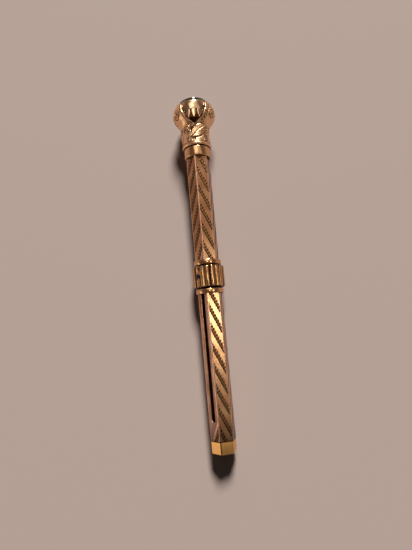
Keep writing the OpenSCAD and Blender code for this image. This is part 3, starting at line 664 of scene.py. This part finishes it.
def finial_outline(up):
    """The plain outline: a foot that draws in to the waist, a hollow above it, and a round side."""
    below = waist_r + (foot_r - waist_r) * ((waist_up - up) / waist_up) ** 2
    hollow = waist_r + waist_round - np.sqrt(np.maximum(waist_round ** 2 - (up - waist_up) ** 2, 0))
    side_round = np.where(up < bulb_up, bulb_round, petal_round)
    bulb = bulb_r - side_round + np.sqrt(np.maximum(side_round ** 2 - (up - bulb_up) ** 2, 0))
    return np.where(up < waist_up, below, np.where(up < meet_up, hollow, bulb))


def step(low, high, value):
    """0 below low and 1 above high, with a smooth rise between. Where low is above high, it falls."""
    part = np.clip((value - low) / (high - low), 0, 1)
    return part * part * (3 - 2 * part)


def ridge(distance, at, width):
    """A ridge's share of its height: 1 at the distance at, falling off as a bell of that width."""
    return np.exp(-((distance - at) / width) ** 2)


sector = 360 / petals
up = np.concatenate([
    np.linspace(relief_low_up, part_up, 90), np.linspace(part_up + 0.02, petal_top_up, 120)])[:, None]
outline = finial_outline(up)
gap_half = np.interp(
    up, (part_up, knee_up, upright_up, petal_top_up), (0, knee_half_w, gap_half_w, top_half_w))
opening = np.degrees(np.arcsin(gap_half / outline))
evenly = np.linspace(-1, 1, 71)
across_petal = np.sin(evenly * np.pi / 2) * 0.35 + evenly * 0.65  # columns lie closer near the edges
petal_turn = sector / 2 + across_petal * (sector / 2 - opening)
from_middle = np.abs(petal_turn - sector / 2)
edge_in = np.radians(sector / 2 - from_middle - opening) * outline

roundness = -petal_sag * (from_middle / (sector / 2)) ** 2 * step(5.0, 8.0, up)
rolled = roll_rise * ridge(edge_in, roll_in, roll_w) * step(part_up, part_up + 1.2, up)
rolled = rolled * (1 - 0.7 * step(upright_up - 0.5, petal_top_up - 0.5, up))
roll_line = -roll_cut * ridge(edge_in, roll_cut_in, roll_cut_w) * step(part_up + 0.3, part_up + 1.5, up)
turn_off = (petal_turn + sector / 2) % sector - sector / 2
leaf_u, leaf_v = np.radians(turn_off - leaf_turn) * outline, up - leaf_up
leaf_long = leaf_u * np.cos(leaf_lean) + leaf_v * np.sin(leaf_lean)
leaf_side = leaf_v * np.cos(leaf_lean) - leaf_u * np.sin(leaf_lean)
leaf_arc = (leaf_h ** 2 + leaf_w ** 2) / (4 * leaf_w)
leaf_half = np.sqrt(np.maximum(leaf_arc ** 2 - leaf_long ** 2, 0)) - (leaf_arc - leaf_w / 2)
leaf_in = leaf_half - np.abs(leaf_side)
on_leaf = step(0.0, 0.16, leaf_in) * (np.abs(leaf_long) < leaf_h / 2)
side_veins = np.maximum(np.cos(2 * np.pi * (leaf_long - 0.9 * np.abs(leaf_side)) / vein_gap), 0) ** 3
veins = on_leaf * np.maximum(0.6 * side_veins, ridge(leaf_side, 0, 0.12))
leaf = on_leaf * leaf_rise - vein_depth * veins
near_leaf = step(leaf_h / 2 + 0.3, leaf_h / 2 - 0.3, np.abs(leaf_long))
sunk_round = -leaf_cut * ridge(leaf_in, -leaf_cut_out, leaf_cut_w) * near_leaf
stroke_u = np.radians(turn_off) * outline
stroke_wave = 0.5 + 0.5 * np.cos(2 * np.pi * (stroke_u - 0.2 * up) / stroke_gap)
strokes = 0.0
for patch_u, patch_up, wide, tall in stroke_patches:
    patch = step(wide, wide - 0.2, np.abs(stroke_u - patch_u))
    patch = patch * step(tall, tall - 0.15, np.abs(up - patch_up))
    strokes = strokes - stroke_depth * patch * (1 - on_leaf) * stroke_wave
coils = 0.0
for coil_turn, coil_up, coil_size, coil_pitch in scrolls:
    coil_u, coil_v = np.radians(petal_turn - coil_turn) * outline, up - coil_up
    coil_r = np.hypot(coil_u, coil_v)
    winding = np.cos(2 * np.pi * (coil_r / coil_pitch - np.arctan2(coil_v, coil_u) / (2 * np.pi)))
    coils = coils - scroll_depth * winding * (1 - step(0.7 * coil_size, coil_size, coil_r)) * (1 - on_leaf)
border = step(border_in, border_in + 0.12, edge_in) * step(border_out, border_out - 0.2, edge_in)
border = border * step(part_up + 0.4, part_up + 0.9, up) * step(petal_top_up - 0.9, petal_top_up - 1.5, up)
border = border * (petal_turn < sector / 2)
border_wave = np.maximum(np.cos(2 * np.pi * (1.25 * up + 0.7 * edge_in) / border_gap), 0) ** 1.5
border_cuts = -border_depth * border * border_wave
foot_line = -foot_cut * ridge(up, foot_cut_up, foot_cut_w)
cuts = roll_line + border_cuts + coils + sunk_round + strokes + foot_line
petal_r = outline + roundness + rolled + leaf + cuts

cup_part = np.clip((up - cup_floor_up) / cup_taper, None, 1)
cup = cup_floor_r + (cup_r - cup_floor_r) * cup_part - cup_under
sunk = step(part_up, part_up + 0.25, up)
edge_r = petal_r[:, :1] - wall_drop * sunk
floor_r = edge_r * (1 - sunk) + np.minimum(cup, edge_r - gap_least) * sunk
gap_turn = opening * [-wall_out, -wall_in, 0, wall_in, wall_out]
gap_r = np.concatenate([edge_r, floor_r, floor_r, floor_r, petal_r[:, -1:] - wall_drop * sunk], axis=1)
sector_turn = np.concatenate([gap_turn, petal_turn], axis=1)
sector_r = np.concatenate([gap_r, petal_r], axis=1)
petal_turns = np.radians(np.concatenate([sector_turn + sector * petal for petal in range(petals)], axis=1))
petal_radii = np.tile(sector_r, (1, petals))
foot_rows = np.concatenate([
    [[stem_hole_r, 0]], arc(foot_r - foot_round, foot_round, foot_round, -90, 85, 12)])
cup_top_up, cup_lining = cup_floor_up + cup_taper, 0.14
cup_rows = np.array([
    [cup_r - cup_lining, petal_top_up], [cup_r - cup_lining, cup_top_up + 0.1], [cup_r - 0.2, cup_top_up],
    [cup_floor_r, cup_floor_up], [stem_hole_r, cup_floor_up]])
turns = petal_turns.shape[1]
shell_r = np.concatenate([
    np.tile(foot_rows[:, :1], (1, turns)), petal_radii, np.tile(cup_rows[:, :1], (1, turns))])
shell_up = np.concatenate([foot_rows[:, 1:], up, cup_rows[:, 1:]])
shell_turn = np.concatenate([
    np.tile(petal_turns[:1], (len(foot_rows), 1)), petal_turns,
    np.tile(petal_turns[-1:], (len(cup_rows), 1))])
shell_tall = np.broadcast_to(foot_tall + shell_up, shell_r.shape)
finial_grid = np.stack([shell_r * np.sin(shell_turn), shell_tall, shell_r * np.cos(shell_turn)], -1)
# Veins and chased cuts are darkened as old dirt and painted shade. The rows under the foot and the gaps
# between the petals are painted dark as shade.
petal_shade_and_dirt = np.clip((vein_darkening * veins - cuts) / full_darkening, 0, 1)
finial_shade_and_dirt = np.zeros(shell_r.shape)
finial_shade_and_dirt[:3] = 1  # the first rows, under the foot
finial_shade_and_dirt[len(foot_rows):-len(cup_rows)] = np.tile(
    np.concatenate([np.ones_like(gap_r) * sunk, petal_shade_and_dirt], axis=1), (1, petals))
finial_mesh = grid_mesh("finial", finial_grid, True, 50, grime=grime(finial_grid, finial_shade_and_dirt))

# Yellow gold, cast and chased: polished on the high parts in smears 2 mm wide, brown in the hollows with old
# dirt and painted shade.
chased_smear_w = 2.0
chased_gold, tree, shader = new_material("yellow_gold_chased")
mark = add_node(tree, "Attribute", {}, attribute_name="grime")
axes = add_node(tree, "SeparateXYZ", {"Vector": mark.outputs["Vector"]})
_, smear, gold = clouded(tree, chased_smear_w, 4.0, ("#e0a676", "#fad3a7"))
colour = add_node(tree, "Mix", {
    mix_by: axes.outputs["X"], mix_from: gold, mix_to: linear("#3a2210")}, data_type="RGBA")
rough = add_node(tree, "MapRange", {
    "Value": smear, from_low: 0.3, from_high: 0.7, to_low: 0.24, to_high: 0.36})
set_inputs(tree, shader, {
    "Base Color": colour.outputs[mixed], "Metallic": 1.0, "Roughness": rough.outputs[0]})
place("finial_petals", finial_mesh, chased_gold, "finial", "finial_shell")

# COLLET. A polished cup of gold sheet round the seal. A fringe of stamped tongues hangs from its band and
# shows in the gaps between the petals, and its rim is burnished over the stone.
collet_r, collet_foot_r, collet_low_up, collet_top_up = 4.5, 3.4, 5.55, 12.0
seal_hole_r, seal_hole_depth = 4.12, 1.6
tongues, tongue_points, tongue_half, tongue_rise = 18, 16, 0.68, 0.24
tongue_top_up, tongue_low_up = 9.4, 6.9
ground_in, band_swell, lip_half_h = 0.25, 0.1, 0.24
collet_turns = np.radians(np.arange(0, 360, 360 / tongues / tongue_points))
collet_up = np.concatenate([
    [collet_low_up], np.linspace(6.2, tongue_top_up - 0.03, 46),
    np.linspace(tongue_top_up + 0.03, tongue_top_up + 0.3, 5),
    np.linspace(tongue_top_up + 0.5, collet_top_up - 0.3, 14)])[:, None]
cone = collet_foot_r + (collet_r - collet_foot_r) * np.clip((collet_up - cup_floor_up) / cup_taper, 0, 1)
on_band = step(tongue_top_up - 0.02, tongue_top_up + 0.04, collet_up)
band_part = np.clip((collet_up - tongue_top_up) / (collet_top_up - tongue_top_up), 0, 1)
swell = band_swell * np.sin(np.pi * band_part)
tongue_turn = (np.degrees(collet_turns) + 180 / tongues) % (360 / tongues) - 180 / tongues
tongue_u = np.radians(tongue_turn) * collet_r
tongue_down = np.clip((tongue_top_up - collet_up) / (tongue_top_up - tongue_low_up), 0, 1)
tongue_wide = tongue_half * (1 - tongue_down ** 2) + 0.01
tongue = np.maximum(1 - np.abs(tongue_u / tongue_wide) ** 5, 0) ** 0.5
ground = np.minimum(cone, collet_r - ground_in * (1 - on_band))
collet_out = ground + tongue_rise * tongue * (1 - on_band) + swell
lip_arc = np.radians(np.linspace(-40, 180, 10))
lip_mid, lip_r = (collet_r + seal_hole_r) / 2 + 0.02, (collet_r - seal_hole_r) / 2
lip_up = collet_top_up - lip_half_h * (1 - np.sin(lip_arc))
lip = np.column_stack([lip_mid + lip_r * np.cos(lip_arc), foot_tall + lip_up])
collet_grid = np.concatenate([
    around([0.0], [foot_tall + collet_low_up], collet_turns),
    around(collet_out, foot_tall + collet_up, collet_turns),
    around(*lip.T, collet_turns),
    around([seal_hole_r, 0.0], [foot_tall + collet_top_up - seal_hole_depth] * 2, collet_turns)])
collet_shade = np.zeros(collet_grid.shape[:2])
collet_shade[1:1 + len(collet_up)] = (1 - on_band) * (1 - step(0.05, 0.5, tongue))
collet_mesh = grid_mesh("collet", collet_grid, False, 40, grime=grime(collet_grid, collet_shade))
# Pale gold, burnished: lighter than the rest and almost a mirror, with painted brown shade between the
# tongues.
pale_gold = worked_gold(
    "pale_gold_burnished", ("#e6b284", "#fbdcb8"), "#4e2e14", (0.11, 1.4, 0.11), (0.12, 0.24), 0.04)
place("seal_collet_cup", collet_mesh, pale_gold, "finial", "seal_collet")

# SEAL STONE. A dark green hardstone, cut flat on top with a bevelled edge and left plain. It sits in the
# collet, under the burnished rim.
stone_r, stone_face_r, stone_low_up, stone_top_up = 4.1, 3.8, 10.45, 13.0
stone_profile = np.array([
    [0, stone_low_up], [stone_r, stone_low_up], [stone_r, collet_top_up - 0.04],
    [stone_r - 0.03, collet_top_up + 0.03], [stone_face_r + 0.04, stone_top_up - 0.06],
    [stone_face_r - 0.03, stone_top_up], [0, stone_top_up]])
stone_mesh = grid_mesh("stone", around(stone_profile[:, 0], foot_tall + stone_profile[:, 1]), False, 30)
# Bloodstone, polished: nearly black green with cloudy patches 1.4 mm wide, and rusty specks 1.1 mm apart.
cloud_w, speck_gap = 1.43, 1.11
bloodstone, tree, shader = new_material("bloodstone_polished")
point, _, green = clouded(tree, cloud_w, 5.0, ("#0d120b", "#2c3522"))
speck = add_node(tree, "TexVoronoi", {"Vector": point, "Scale": 1000 / speck_gap})
rust = add_node(tree, "MapRange", {
    "Value": speck.outputs["Distance"], from_low: 0.12, from_high: 0.2, to_low: 1.0, to_high: 0.0})
colour = add_node(tree, "Mix", {
    mix_by: rust.outputs[0], mix_from: green, mix_to: linear("#4a1a12")}, data_type="RGBA")
set_inputs(tree, shader, {"Base Color": colour.outputs[mixed], "Roughness": 0.08, "IOR": 1.54})
place("seal_stone_cut", stone_mesh, bloodstone, "finial", "seal_stone")

# FLOOR. A plain pale table. The pencil lies on a petal of the finial and on its ring or mouth, whichever
# reaches lower, so the table is tilted a little against the pencil's axis.
floor_half = 4000.0


def lowest(grid):
    """The point of a grid that lies lowest."""
    return grid.reshape(-1, 3)[grid[..., 2].argmin()]


finial_low = lowest(finial_grid)
props = np.array([lowest(ring_grid), lowest(band_points)])
floor_rise = ((finial_low[2] - props[:, 2]) / (finial_low[1] - props[:, 1])).max()
floor_points = np.array([
    [x, tall, finial_low[2] + floor_rise * (tall - finial_low[1])]
    for tall in (-floor_half, floor_half) for x in (-floor_half, floor_half)])
floor_mesh = bpy.data.meshes.new("floor")
floor_mesh.from_pydata(to_metres(floor_points).tolist(), [], [(0, 1, 3, 2)])
floor = put("floor", floor_mesh)
table, tree, shader = new_material("table_plain")
set_inputs(tree, shader, {"Base Color": linear("#b09f98"), "Roughness": 0.9})
floor_mesh.materials.append(table)

# LIGHT. One soft, distant lamp behind the finial lights the table. The metal also sees six pale panels that
# light nothing else, and a studio that is pale near the table and dim overhead.
key = bpy.data.lights.new("key", "SUN")
key.energy, key.angle = 5.4, 0.24
lamps = [(key, (0.125, 0.83, 0.545), "#fffaf4")]
panels = (  # name, place and sizes in metres, watts, tint
    ("window", (0.25, 0.42, 0.87), 0.9, 0.45, 0.58, "#fff4e6"),
    ("strip", (-0.15, 0.5, 0.85), 0.45, 0.4, 0.8, "#fffaf4"),
    ("side", (0.5, 0.035, 0.863), 0.14, 0.14, 0.54, "#fff4d8"),
    ("above", (0.0, 0.14, 0.985), 0.16, 0.12, 0.4, "#fff4d8"),
    ("low", (0.5, -0.22, 0.843), 0.3, 0.14, 0.045, "#fff4d8"),
    ("fill", (-0.9, -0.25, 0.1), 0.7, 0.3, 0.8, "#fff0e4"))
for name, stand, wide, tall, power, tint in panels:
    panel = bpy.data.lights.new(name, "AREA")
    panel.shape, panel.size, panel.size_y, panel.energy = "RECTANGLE", wide, tall, power
    lamps.append((panel, stand, tint))
for lamp, stand, tint in lamps:
    lamp.color = linear(tint)[:3]
    holder = put(lamp.name, lamp)
    holder.visible_diffuse = lamp is key
    holder.location = stand
    holder.rotation_mode = "QUATERNION"
    holder.rotation_quaternion = (-Vector(stand)).to_track_quat("-Z", "Y")
world = bpy.data.worlds.new("studio")
bpy.context.scene.world = world
world.use_nodes = True
tree = world.node_tree
tree.nodes.clear()
ray = add_node(tree, "LightPath", {})
way = add_node(tree, "TexCoord", {})
axes = add_node(tree, "SeparateXYZ", {"Vector": way.outputs["Generated"]})
wall = add_node(tree, "MapRange", {
    "Value": axes.outputs["Z"], from_low: 0.05, from_high: 0.5, to_low: 0.42, to_high: 0.12})
seen = add_node(tree, "MapRange", {
    "Value": ray.outputs["Is Glossy Ray"], to_low: 0.03, to_high: wall.outputs[0]})
shown = add_node(tree, "MapRange", {
    "Value": ray.outputs["Is Camera Ray"], to_low: seen.outputs[0], to_high: 0.44})
room = add_node(tree, "Background", {"Color": linear("#ffe6d8"), "Strength": shown.outputs[0]})
add_node(tree, "OutputWorld", {"Surface": room.outputs["Background"]})

# CAMERA. A hand-held telephone close above the pencil, nearly straight down, with the mouth a little nearer.
# Its place is worked out from the picture's proportions and from where the pencil's axis crosses its middle.
image_h, focal_px, sensor_h = 550, 400.0, 24.0
camera_far, camera_lean, camera_roll = 102.0, np.radians(8.5), np.radians(5.19)
axis_at = 42.9  # mm from the mouth, at the picture's middle
axis_right = 0.64  # mm that the axis lies right of the picture's middle
across_pencil = np.array([1.0, 0, 0])
along_pencil = np.array([0, np.cos(camera_lean), np.sin(camera_lean)])
back = np.array([0, -np.sin(camera_lean), np.cos(camera_lean)])
right = np.cos(camera_roll) * across_pencil - np.sin(camera_roll) * along_pencil
upward = np.sin(camera_roll) * across_pencil + np.cos(camera_roll) * along_pencil
eye = to_metres(np.array([0, axis_at, 0]) - axis_right * right + camera_far * back)
lens = bpy.data.cameras.new("camera")
lens.sensor_fit, lens.sensor_height = "VERTICAL", sensor_h
lens.lens = sensor_h * focal_px / image_h
lens.clip_start, lens.clip_end = 0.005, 20.0
camera = put("camera", lens)
camera.matrix_world = Matrix([*np.column_stack([right, upward, back, eye]).tolist(), [0, 0, 0, 1]])
bpy.context.scene.camera = camera
bpy.context.scene.view_settings.view_transform = "Standard"
